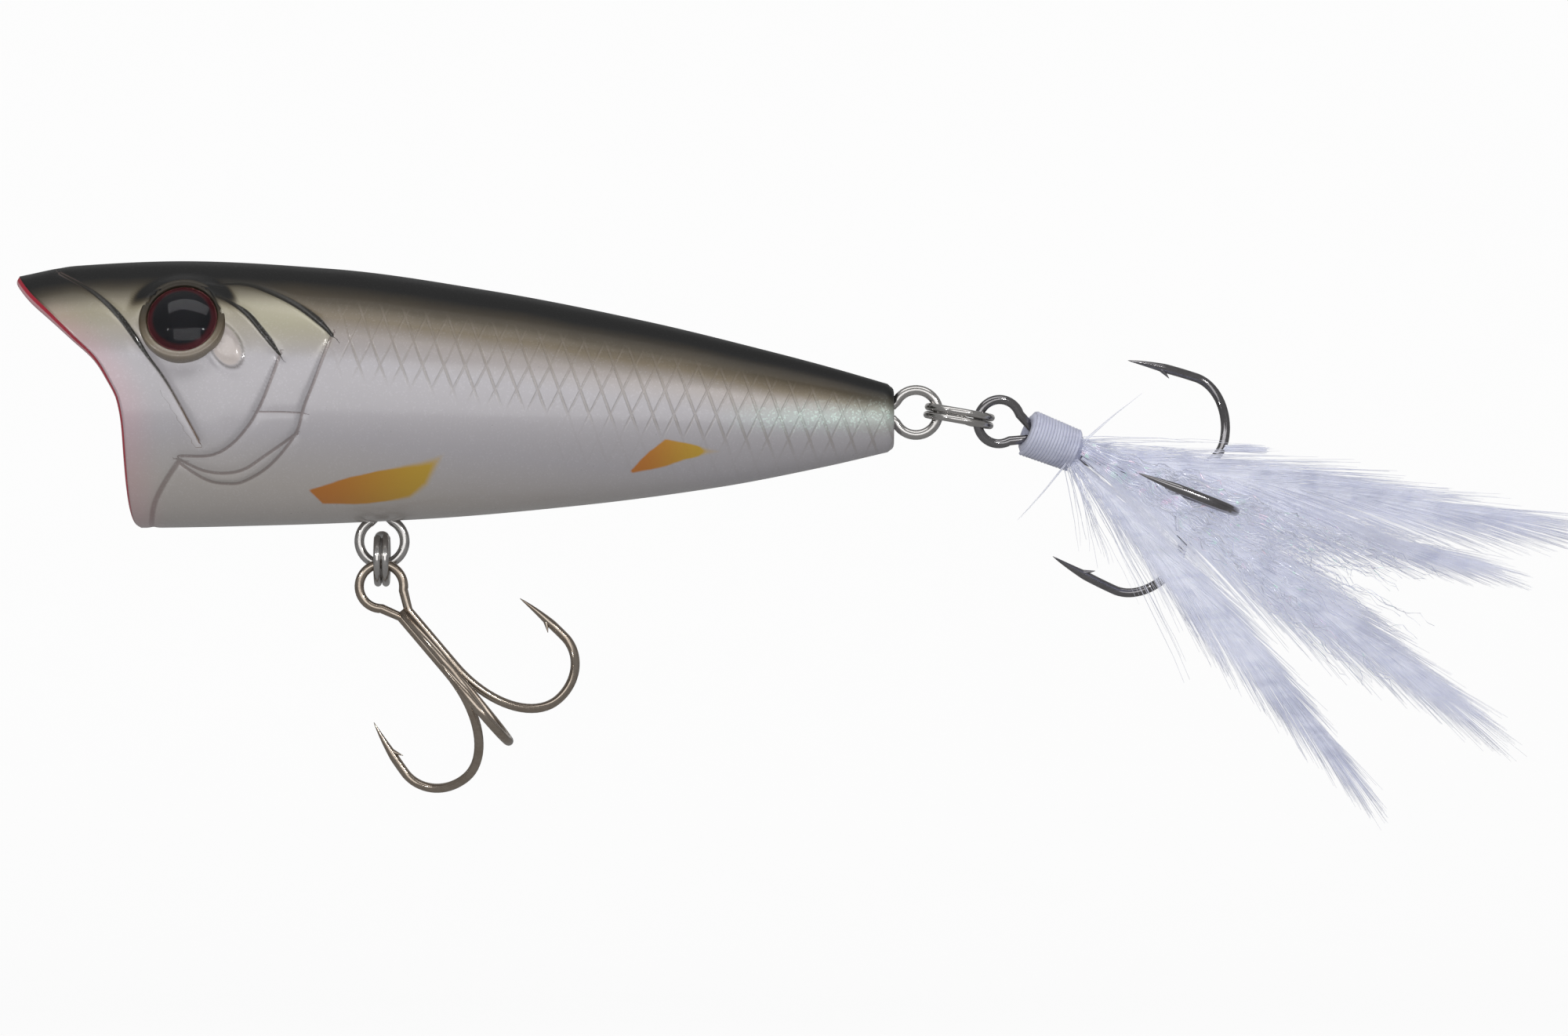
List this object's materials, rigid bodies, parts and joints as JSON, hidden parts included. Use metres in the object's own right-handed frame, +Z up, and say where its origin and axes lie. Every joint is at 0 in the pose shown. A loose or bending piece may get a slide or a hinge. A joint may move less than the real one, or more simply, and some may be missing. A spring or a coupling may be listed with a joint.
{
  "type": "topwater popper fishing lure",
  "caption": "Hollow moulded surface lure with a cupped mouth, domed eyes, a free-swinging belly treble hook and a feathered tail treble on split rings.",
  "frame": {"origin": "middle of the line-tie wire loop in the mouth cup", "axes": "+X from the mouth to the tail, +Z up through the back, -Y the left flank"},
  "size_m": [0.1281, 0.0244, 0.0452],
  "materials": {
    "pearl_paint": "pearl paint under clear gloss, olive-black back, white belly",
    "iris_print": "black pupil with a dark red ring",
    "clear_lens": "clear, high gloss",
    "stainless_wire": "bright stainless",
    "bronze_nickel": "bronze-tinted nickel plate",
    "black_nickel": "black nickel plate",
    "ballast_metal": "bare metal",
    "brass": "polished",
    "white_thread": "varnished white thread",
    "white_feather": "soft white hackle",
    "pearl_tinsel": "crinkled pearl film"
  },
  "bodies": {
    "lure_body": {"body_half_left": "pearl_paint", "body_half_right": "pearl_paint", "eye_iris_left": "iris_print", "eye_iris_right": "iris_print", "eye_dome_left": "clear_lens", "eye_dome_right": "clear_lens", "line_tie_eyelet": "stainless_wire", "belly_eyelet": "stainless_wire", "tail_eyelet": "stainless_wire", "keel_ballast": "ballast_metal", "tail_ballast": "ballast_metal"},
    "rattle": {"rattle_ball": "brass"},
    "belly_ring": {"belly_split_ring": "stainless_wire"},
    "belly_treble": {"belly_double_hook": "bronze_nickel", "belly_single_hook": "bronze_nickel"},
    "tail_ring": {"tail_split_ring": "stainless_wire"},
    "tail_treble": {"tail_double_hook": "black_nickel", "tail_single_hook": "black_nickel", "thread_wrap": "white_thread", "feather_upper": "white_feather", "feather_middle": "white_feather", "feather_lower": "white_feather", "feather_rear_upper": "white_feather", "feather_rear_lower": "white_feather", "short_hackle": "white_feather", "tinsel_strands": "pearl_tinsel"}
  },
  "joints": [
    {"name": "rattle_roll", "type": "slide", "parent": "lure_body", "child": "rattle", "axis": [1, 0, 0], "range_m": [0, 0.006]},
    {"name": "belly_ring_swing", "type": "hinge", "parent": "lure_body", "child": "belly_ring", "pos_m": [0.0177, 0, -0.01189], "axis": [1, 0, 0], "range_deg": [-50, 50]},
    {"name": "belly_treble_swing", "type": "hinge", "parent": "belly_ring", "child": "belly_treble", "pos_m": [0.0177, -0.001, -0.01312], "axis": [0, 1, 0], "range_deg": [-28, 95]},
    {"name": "tail_ring_swing", "type": "hinge", "parent": "lure_body", "child": "tail_ring", "pos_m": [0.06227, 0, 0.00025], "axis": [0, 0, 1], "range_deg": [-50, 50]},
    {"name": "tail_treble_swing", "type": "hinge", "parent": "tail_ring", "child": "tail_treble", "pos_m": [0.06644, 0, -0.00049], "axis": [0, 1, 0], "range_deg": [-70, 80]}
  ]
}
